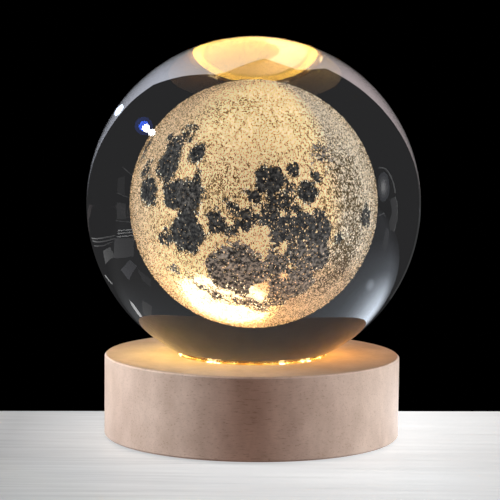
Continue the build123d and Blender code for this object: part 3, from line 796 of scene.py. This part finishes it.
def core_mesh(name, material):
    """The layer under the grains, lumpy in the plains, with what survey says at each of its points."""

    def lump(direction):
        return 0.10 * noise.noise(direction * 34.0) + 0.05 * noise.noise(direction * 80.0)

    vertices, faces = sphere_mesh(CORE_R, CORE_RINGS, CORE_SEGMENTS, lump)
    core = add_mesh(name, vertices, faces, material, "ball")
    mesh = core.data
    points = np.empty(3 * len(mesh.vertices), np.float32)
    mesh.vertices.foreach_get("co", points)
    directions = points.reshape(-1, 3).astype(float) - np.array(BALL_CENTRE)
    directions /= np.linalg.norm(directions, axis=1)[:, None]
    for label, values in zip(("plain", "leavings", "behind_glow", "rays", "cover"), survey(directions)):
        surveyed = mesh.attributes.new(label, "FLOAT", "POINT")
        surveyed.data.foreach_set("value", values.astype(np.float32))
    corners = np.empty(len(mesh.loops), np.int32)
    mesh.loops.foreach_get("vertex_index", corners)
    turn = np.arctan2(directions[:, 1], directions[:, 0]) / (2 * math.pi) + 0.5
    rise = np.arccos(np.clip(directions[:, 2], -1, 1)) / math.pi
    across = turn[corners]
    first = np.empty(len(mesh.polygons), np.int32)
    mesh.polygons.foreach_get("loop_start", first)
    total = np.empty(len(mesh.polygons), np.int32)
    mesh.polygons.foreach_get("loop_total", total)
    high = np.repeat(np.maximum.reduceat(across, first), total)
    across = np.where(high - across > 0.5, across + 1, across) * (1 - 1 / CORE_SEGMENTS)
    layer = mesh.uv_layers.new(name=BAKE_MAP)
    layer.data.foreach_set("uv", np.stack([across, rise[corners]], 1).ravel())
    return core


def build_engraving():
    core = core_mesh("engraving_layer", core_material())
    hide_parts("moon_engraving")
    core.visible_diffuse = False
    directions, random = grain_places(GRAIN_CANDIDATES, GRAIN_SEED)
    front = directions[:, 1] < 0
    grains = grain_material()
    for name, chosen in (("moon_grains_front", front), ("moon_grains_rear", ~front)):
        piece = grain_piece(name, directions[chosen], random, grains)
        piece.visible_diffuse = False


def finish_frame_nodes():
    """Gives each node of the frame that stays its finish.

    A grained one has a name, a dark and a light tone, the scale of its grain and, where they differ from
    grained_material's own, its roughness, how metallic it is and the depth of its bumps.
    """
    grained = {
        "led_board": ("white_mask", (0.78, 0.78, 0.75), (0.86, 0.86, 0.83), 900, (0.25, 0.4)),
        "warm_white_leds": ("led_package", (0.78, 0.76, 0.7), (0.88, 0.87, 0.82), 1500),
        "led_resistors": ("chip", 0.015, 0.04, 2500),
        "led_board_screws": ("zinc", (0.52, 0.53, 0.55), (0.7, 0.71, 0.73), 3000, (0.25, 0.42), 1.0),
        "lead_wire_red": ("red_cover", (0.42, 0.012, 0.01), (0.55, 0.02, 0.015), 1200, (0.3, 0.45)),
        "lead_wire_black": ("black_cover", 0.01, 0.025, 1200),
        "power_board": ("green_mask", (0.008, 0.11, 0.04), (0.015, 0.16, 0.06), 1100, (0.2, 0.35)),
        "usb_socket_shell": ("nickel", (0.5, 0.5, 0.49), (0.68, 0.68, 0.66), 2600, (0.2, 0.38), 1.0),
        "usb_socket_tongue": ("black_moulding", 0.008, 0.02, 1800),
        "usb_contacts": ("gold", (0.75, 0.5, 0.16), (0.9, 0.65, 0.25), 3000, (0.15, 0.3), 1.0),
        "switch_plunger": ("nylon", (0.74, 0.73, 0.68), (0.84, 0.83, 0.79), 1500),
        "switch_spring": ("spring_wire", (0.42, 0.42, 0.43), (0.6, 0.6, 0.61), 4000, (0.2, 0.35), 1.0),
        "button_cap": (
            "button_moulding", (0.012, 0.012, 0.013), (0.03, 0.03, 0.032), 4200, (0.42, 0.6), 0.0, 0.00004
        ),
        "bottom_cover": (
            "cover_moulding", (0.012, 0.012, 0.013), (0.028, 0.028, 0.03), 3200, (0.45, 0.65), 0.0, 0.00006
        ),
        "bottom_cover_screws": (
            "black_oxide", (0.02, 0.02, 0.022), (0.06, 0.06, 0.065), 3000, (0.3, 0.5), 0.8
        ),
        "rubber_feet": ("rubber", 0.02, 0.045, 2200, (0.7, 0.9), 0.0, 0.00008),
    }
    finishes = {name: grained_material(*finish) for name, finish in grained.items()}
    finishes["wooden_base"] = beech_material()
    finishes["seat_ring"] = seat_ring_material()
    finishes["diffuser_lens"] = lens_material()
    finishes["led_phosphor"] = phosphor_material()
    finishes["power_board_screws"] = finishes["led_board_screws"]
    finishes["sink_resistors"] = finishes["led_resistors"]
    finishes["switch_body"] = finishes["usb_socket_tongue"]
    finishes["switch_pins"] = finishes["usb_socket_shell"]
    for name, material in finishes.items():
        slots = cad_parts[name].material_slots
        if not len(slots):
            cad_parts[name].data.materials.append(material)
        for slot in slots:
            slot.material = material


# Surroundings


def spot(tree, x, y, stops):
    """Rings of light round a point of the floor: distance in millimetres and strength of each."""
    away = vector_node(tree, "DISTANCE", position(tree), (x * MM, y * MM, 0), "Value")
    furthest = stops[-1][0]
    share = times(tree, away, 1 / (furthest * MM), clamp=True)
    return ramp(tree, share, [(r / furthest, tuple(v * tone for tone in COOL_LIGHT)) for r, v in stops])


def mirrored_floor(tree):
    """The floor as the ball mirrors it: dark to the left, and a pool of cool light right of the base."""
    across = scaled(tree, along(tree, (1, 0, 0)), 1 / (200 * MM), 0.5, clamp=True)
    total = ramp(
        tree, across, [(0.0, 0.08), (0.3, 0.12), (0.8, (0.27, 0.29, 0.32)), (1.0, (0.2, 0.21, 0.24))]
    )
    rings = [(0, 3.2), (14, 2.9), (30, 1.6), (40, 0.85), (50, 0.5), (70, 0.36), (100, 0.14), (150, 0.0)]
    total = mix_colour(tree, "ADD", 1.0, total, spot(tree, 61, 30, rings))
    total = mix_colour(tree, "ADD", 1.0, total, spot(tree, 83, 0, [(0, 1.5), (4, 1.2), (9, 0.0)]))
    behind = times(tree, along(tree, (0, 1, 0)), 1 / (110 * MM), clamp=True)
    fade = ramp(tree, behind, [(0.35, 1.0), (0.6, 0.5), (1.0, 0.0)])
    return emission(tree, mix_colour(tree, "MULTIPLY", 1.0, total, fade))


def floor_material():
    """Pale brushed sheet with painted light, brighter to the right and towards the back; nearly black through
    glass, and a mirrored_floor.
    """
    material, tree, output = new_material("pale_floor")
    shader = principled(tree, output, Roughness=0.5, Emission_Strength=1.0)
    streaks = noise_texture(tree, coordinates(tree, (20, 420, 1)), 1.0, 4.0, 0.7)
    fine = ramp(tree, streaks, [(0.3, (0.385, 0.387, 0.388)), (0.7, (0.495, 0.497, 0.498))])
    feed(tree, fine, shader, "Base Color")
    # Painted light: the floor's glow is dimmest to the left, brightest just right of the base, and brighter
    # towards the back
    across = scaled(tree, along(tree, (1, 0, 0)), 1 / (130 * MM), 0.5, clamp=True)
    painted_light_across = ramp(
        tree, across, [(0.05, 0.38), (0.14, 0.58), (0.42, 1.0), (0.6, 1.14), (0.8, 1.25), (1, 0.90)]
    )
    behind = scaled(tree, along(tree, (0, 1, 0)), 1 / (100 * MM), 0.62, clamp=True)
    painted_floor_light = mix_colour(tree, "MULTIPLY", 1.0, painted_light_across, fine)
    painted_floor_light = mix_colour(tree, "MULTIPLY", 1.0, painted_floor_light, ramp(tree, behind, [(0.0, 1.0), (0.8, 1.48)]))
    feed(tree, painted_floor_light, shader, "Emission Color")

    plain = node(tree, "ShaderNodeBsdfDiffuse", Color=(0.42, 0.28, 0.24, 1))
    shown = choose(tree, ray_kind(tree, "Is Diffuse Ray"), shader.outputs["BSDF"], plain.outputs["BSDF"])
    shown = choose(tree, ray_kind(tree, "Is Glossy Ray"), shown, mirrored_floor(tree))
    shown = choose(tree, ray_kind(tree, "Is Transmission Ray"), shown, emission(tree, UNLIT_FLOOR))
    feed(tree, shown, output, "Surface")
    return material


def rear_material():
    """What the ball bends into view from behind the slab: the floor there in painted light, pale grey, warmer
    to the right, and dimmer and browner in the middle.
    """
    material, tree, output = new_material("rear_strip")
    across = scaled(tree, along(tree, (1, 0, 0)), 1 / (160 * MM), 0.5, clamp=True)
    tone = ramp(
        tree, across,
        [
            (0.27, (0.58, 0.49, 0.49)),
            (0.40, (0.39, 0.35, 0.31)),
            (0.60, (0.39, 0.36, 0.34)),
            (0.73, (0.56, 0.58, 0.66)),
        ],
    )
    glossy, through = ray_kind(tree, "Is Glossy Ray"), ray_kind(tree, "Is Transmission Ray")
    mirrored = math_node(tree, "SUBTRACT", glossy, through, clamp=True)
    feed(tree, choose(tree, mirrored, emission(tree, tone), mirrored_floor(tree)), output, "Surface")
    return material


def stage_piece(name, vertices, faces, material):
    """A piece of the surroundings."""
    made = mesh_object(name, vertices, faces, material)
    return made


def seen_in_ball_only(piece):
    piece.visible_camera = False
    piece.visible_diffuse = False
    piece.visible_shadow = False


def picture_ray(x, y):
    """Unit vector from the camera through a point of the picture, in pixels."""
    turn = Matrix.Rotation(math.radians(90 - CAMERA_ELEVATION), 3, "X")
    turn = turn @ Matrix.Rotation(math.radians(CAMERA_ROLL), 3, "Z")
    return (turn @ Vector((x - FRAME_PX / 2, FRAME_PX / 2 - y, -FOCAL_PX))).normalized()


def ball_hit(ray):
    """Where a ray from the camera meets the ball."""
    eye = camera_place()
    centre = BALL_CENTRE - eye
    middle = centre.dot(ray)
    depth = (BALL_R * MM) ** 2 - (centre.length_squared - middle**2)
    return eye + ray * (middle - math.sqrt(max(depth, 0.0)))


def bent(ray, normal, ratio):
    """A ray refracted at a surface. The normal faces the ray; ratio is the index before over after it."""
    facing = -ray.dot(normal)
    return ratio * ray + (ratio * facing - math.sqrt(1 - ratio**2 * (1 - facing**2))) * normal


def seen_through_ball(x, y):
    """Place on the floor, in millimetres, that the ball bends into view at a point of the picture."""
    ray = picture_ray(x, y)
    entry = ball_hit(ray)
    inside = bent(ray, (entry - BALL_CENTRE).normalized(), 1 / GLASS_IOR)
    leaving = entry - 2 * (entry - BALL_CENTRE).dot(inside) * inside
    outside = bent(inside, (BALL_CENTRE - leaving).normalized(), GLASS_IOR)
    met = leaving + outside * ((FLOOR_TOP * MM - leaving.z) / outside.z)
    return met.x / MM, met.y / MM


def floor_rear_edge():
    """Rear edge of the slab from right to left, in millimetres: straight, with a round lip under the base."""

    def line(x):
        return FLOOR_REAR + FLOOR_REAR_SLOPE * x

    steps = [i / 2 for i in range(60, -61, -1)]
    lip = [(x, math.sqrt(FLOOR_LIP_R**2 - x * x)) for x in steps]
    lip = [(x, y) for x, y in lip if y > line(x)]
    return [(FLOOR_REACH, line(FLOOR_REACH)), *lip, (-FLOOR_REACH, line(-FLOOR_REACH))]


def build_floor():
    """A pale slab whose rear edge lies under the back of the base, and what the ball shows beyond it."""
    edge = floor_rear_edge()
    top = [(-FLOOR_REACH, -FLOOR_REACH), (FLOOR_REACH, -FLOOR_REACH), *edge]
    count = len(top)
    corners = [(x * MM, y * MM, z * MM) for z in (FLOOR_UNDERSIDE, FLOOR_TOP) for x, y in top]
    faces = [tuple(range(count - 1, -1, -1)), tuple(range(count, 2 * count))]
    faces += [(i, (i + 1) % count, (i + 1) % count + count, i + count) for i in range(count)]
    stage_piece("pale_slab", corners, faces, floor_material())
    bend = [seen_through_ball(x, y) for x, y in REAR_EDGE_SEEN]
    far = REAR_EDGE_RIGHT + bend + REAR_EDGE_LEFT
    outline = [(x * MM, y * MM, FLOOR_TOP * MM) for x, y in edge[::-1] + far]
    rear = stage_piece("rear_strip", outline, [tuple(range(len(outline)))], rear_material())
    seen_in_ball_only(rear)


def oval(x, y, across, up, turn=0.0):
    """Corners of an oval in the picture, with its half sizes in pixels, turned anticlockwise in degrees."""
    c, s = math.cos(math.radians(turn)), math.sin(math.radians(turn))
    steps = [2 * math.pi * i / OVAL_CORNERS for i in range(OVAL_CORNERS)]
    flat = [(across * math.cos(t), up * math.sin(t)) for t in steps]
    return [(x + c * a + s * b, y - s * a + c * b) for a, b in flat]


def stroke(width, *points):
    """Corners of a thin line through points of the picture."""
    left, right = [], []
    for i, point in enumerate(points):
        ahead = Vector(points[min(i + 1, len(points) - 1)]) - Vector(points[max(i - 1, 0)])
        offset = Vector((-ahead.y, ahead.x)).normalized() * width / 2
        left.append(tuple(Vector(point) + offset))
        right.append(tuple(Vector(point) - offset))
    return left + right[::-1]


def limb_line(start, end):
    """Corners of a thin crescent inside the ball's outline, between two bearings in degrees."""
    bearings = [math.radians(start + (end - start) * i / LIMB_STEPS) for i in range(LIMB_STEPS + 1)]
    inner, outer = [
        [(LIMB_X + r * math.cos(b), LIMB_Y - r * math.sin(b)) for b in bearings] for r in LIMB_LINE
    ]
    return inner + outer[::-1]


# What stood about the lamp and shows in the ball: outlines in the picture, in pixels, and the light of
# each. Those further down the list stand nearer
MIRRORED_SHAPES = {
    "blue_halo": (oval(143.8, 126.0, 9, 9), (0.1, 0.2, 0.9)),
    "blue_glow": (oval(144.2, 126.4, 5.4, 5.4), (0.5, 1.6, 11.0)),
    "left_lamp": (oval(146.2, 128.3, 4.2, 4.2), 22),
    "left_lamp_tail": (oval(151.8, 132.5, 3.8, 3.8), 22),
    "rim_lamp": (oval(119.0, 110.3, 2.7, 6.8, -35), (3.4, 4.0, 5.2)),
    "right_haze": (oval(383.5, 187, 6, 15), (0.35, 0.37, 0.42)),
    "right_haze_middle": (oval(383.5, 187, 4.3, 11), (0.6, 0.62, 0.66)),
    "right_glow": (oval(383.5, 187, 2.8, 7.5), (1.3, 1.3, 1.35)),
    "right_core": (oval(383.2, 187, 1.6, 4.5), 2.2),
    "right_rim_line": (
        stroke(1.3, (379, 168), (384, 167.5), (388.5, 172), (392, 179), (394.6, 188), (395.4, 193)),
        0.7,
    ),
    "right_panel": (
        [(390, 199), (395, 197), (397, 203), (396.5, 222), (394, 232), (390, 230), (389, 222), (392, 214)],
        (0.3, 0.3, 0.31),
    ),
    "right_panel_edge": (stroke(0.9, (395, 197), (397, 203), (396.8, 218), (394, 231)), 0.8),
    "right_low_haze": (oval(386, 240, 2.5, 12, -8), (0.4, 0.42, 0.46)),
    "right_hook": (stroke(1.0, (379, 216), (384, 213), (385, 216)), (0.9, 0.9, 0.95)),
    "window_upper": ([(118, 178), (125, 176), (125, 195), (117.5, 193)], 0.15),
    "window_bar_top": (stroke(0.9, (123, 167.5), (132, 175)), 0.5),
    "window_bar_upper": (stroke(0.9, (117, 192.8), (129.5, 198)), 0.45),
    "window_middle": ([(117, 202), (126, 204), (126, 219), (117, 219)], 0.26),
    "window_bar_middle": (stroke(0.9, (116, 220.5), (130.5, 222)), 0.5),
    "window_lower": ([(115, 238), (134, 238), (134, 256), (114, 258)], (0.36, 0.36, 0.37)),
    "sill_line_top": (stroke(1.1, (118, 230.5), (134, 229.3)), 2.2),
    "sill_line_middle": (stroke(1.0, (117.5, 233.5), (133.5, 232)), 1.9),
    "sill_line_low": (stroke(1.1, (117, 236.8), (134, 235.2)), 1.7),
    "far_line_top": (stroke(1.0, (91, 237.5), (103, 238), (115, 235.5)), 0.5),
    "far_line_middle": (stroke(1.2, (92.5, 240.5), (104, 241.5), (115, 238.5)), 0.4),
    "far_line_low": (stroke(1.0, (94, 245.5), (104, 245.5), (113, 241.5)), 0.3),
    "left_panel": ([(103, 251), (110, 247), (115, 256), (105.5, 264)], 0.42),
    "left_low_panel": ([(121, 270), (130, 260), (137, 266), (129, 280)], (0.42, 0.42, 0.46)),
    "left_dark_panel": ([(137, 268), (151, 279), (151, 287), (143, 281)], (0.25, 0.25, 0.26)),
    "slanting_light": (
        [(129, 299.5), (134, 304.5), (138.5, 311), (143, 317.5), (139.5, 316.5), (133, 307.5)],
        2.2,
    ),
    "slanting_panel": ([(142, 300), (152, 306), (152, 317), (144, 315)], 0.38),
    "short_line": (stroke(1.0, (105, 275), (112.5, 284)), 0.7),
    "right_limb": (limb_line(-35, 48), 0.06),
    "left_limb": (limb_line(158, 212), 0.025),
}


def mirrored_place(x, y, reach):
    """Where something has to be for the ball's front to mirror it at a point of the picture."""
    ray = picture_ray(x, y)
    hit = ball_hit(ray)
    mirrored = ray.reflect((hit - BALL_CENTRE).normalized())
    share = reach / MIRRORED_DISTANCE
    distance = reach * MM
    if mirrored.z < 0:
        distance = min(distance, MIRRORED_DROP * share * hit.z / -mirrored.z)
    return hit + mirrored * distance


def build_mirrored_room():
    """Stands each mirrored shape where the ball shows it, as flat glowing faces."""
    vertices, faces, lights = [], [], []
    for i, (outline, light) in enumerate(MIRRORED_SHAPES.values()):
        reach = MIRRORED_DISTANCE - MIRRORED_STEP * i
        first = len(vertices)
        vertices += [mirrored_place(x, y, reach) for x, y in outline]
        count = len(outline)
        last = first + count - 1
        if count == OVAL_CORNERS:
            added = [(first, first + j, first + j + 1) for j in range(1, count - 1)]
        else:
            added = [(first + j, first + j + 1, last - j - 1, last - j) for j in range(count // 2 - 1)]
        faces += added
        lights += [light] * len(added)
    material, tree, output = new_material("mirrored_room")
    clear = node(tree, "ShaderNodeBsdfTransparent").outputs["BSDF"]
    glow = emission(tree, attribute(tree, "light", "Color"))
    feed(tree, choose(tree, ray_kind(tree, "Is Transmission Ray"), glow, clear), output, "Surface")
    material.cycles.emission_sampling = "NONE"
    room = stage_piece("mirrored_room", vertices, faces, material)
    shown = room.data.attributes.new("light", "FLOAT_COLOR", "FACE")
    shown.data.foreach_set("color", [v for light in lights for v in (*rgb(light), 1.0)])
    seen_in_ball_only(room)
    room.visible_transmission = False


def build_world():
    """Black for the eye, faint grey for glass and mirrors, and soft warm light for matt surfaces."""
    world = bpy.data.worlds.new("studio")
    bpy.context.scene.world = world
    world.use_nodes = True
    tree = world.node_tree
    tree.nodes.clear()
    output = node(tree, "ShaderNodeOutputWorld")
    soft, inside, black = [
        node(tree, "ShaderNodeBackground", Color=colour, Strength=strength).outputs["Background"]
        for colour, strength in (
            ((1.0, 0.71, 0.60, 1), 0.21),
            ((1.0, 1.0, 1.03, 1), 0.022),
            ((0, 0, 0, 1), 0.0),
        )
    ]
    through, glossy = ray_kind(tree, "Is Transmission Ray"), ray_kind(tree, "Is Glossy Ray")
    shown = choose(tree, math_node(tree, "MAXIMUM", through, glossy), soft, inside)
    feed(tree, choose(tree, ray_kind(tree, "Is Camera Ray"), shown, black), output, "Surface")


def area_lamp(name, place, aim, size, power, colour=(1, 1, 1), shape="RECTANGLE"):
    """A lamp of size (width, height) at place, in millimetres, that points at aim and isn't seen itself."""
    light = bpy.data.lights.new(name, "AREA")
    light.shape = shape
    light.size, light.size_y = size[0] * MM, size[1] * MM
    light.energy = power
    light.color = colour
    obj = bpy.data.objects.new(name, light)
    bpy.context.scene.collection.objects.link(obj)
    start, end = Vector(place) * MM, Vector(aim) * MM
    obj.location = start
    obj.rotation_euler = (end - start).to_track_quat("-Z", "Y").to_euler()
    obj.visible_camera = False
    obj.visible_glossy = False
    obj.visible_transmission = False
    return obj


def build_lights():
    area_lamp("left_box", (-445, 0, 70), (0, 0, 15), (170, 240), 3.05, (0.86, 1.03, 1.13))
    area_lamp("right_box", (446, -10, 50), (0, 0, 12), (190, 200), 3.1, (0.88, 1.01, 1.07))
    top = area_lamp("left_top", (-70, -10, 70), (-17, -7, 20), (30, 30), 0.0030, (1.0, 0.86, 0.64))
    top.data.spread = math.radians(56)
    above_lens = (-5, -3, LENS_TOP + 0.3)
    area_lamp("led_glow", above_lens, (-5, -3, LENS_TOP + 10), (22, 22), 0.035, (1.0, 0.76, 0.45), "DISK")
    area_lamp("seat_glow_left", (-13, -4, 34), (-13, -4, 0), (8, 8), 0.0100, (1.0, 0.82, 0.11), "DISK")
    area_lamp("seat_glow_right", (13, 0, 34), (13, 0, 0), (8, 8), 0.0092, (1.0, 0.46, 0.005), "DISK")


def camera_place():
    elevation = math.radians(CAMERA_ELEVATION)
    back = Vector((0, -math.cos(elevation), math.sin(elevation)))
    return (Vector(CAMERA_AIM) + back * CAMERA_DISTANCE) * MM


def build_camera():
    data = bpy.data.cameras.new("camera")
    data.sensor_width = SENSOR_MM
    data.lens = FOCAL_PX * SENSOR_MM / FRAME_PX
    data.clip_start = 0.01
    camera = bpy.data.objects.new("camera", data)
    bpy.context.scene.collection.objects.link(camera)
    tilt = Matrix.Rotation(math.radians(90 - CAMERA_ELEVATION), 4, "X")
    roll = Matrix.Rotation(math.radians(CAMERA_ROLL), 4, "Z")
    camera.matrix_world = Matrix.Translation(camera_place()) @ tilt @ roll
    bpy.context.scene.camera = camera


build_camera()
build_floor()
build_mirrored_room()
build_world()
build_lights()
build_ball()
build_engraving()
finish_frame_nodes()
bpy.context.scene.view_settings.view_transform = "Standard"
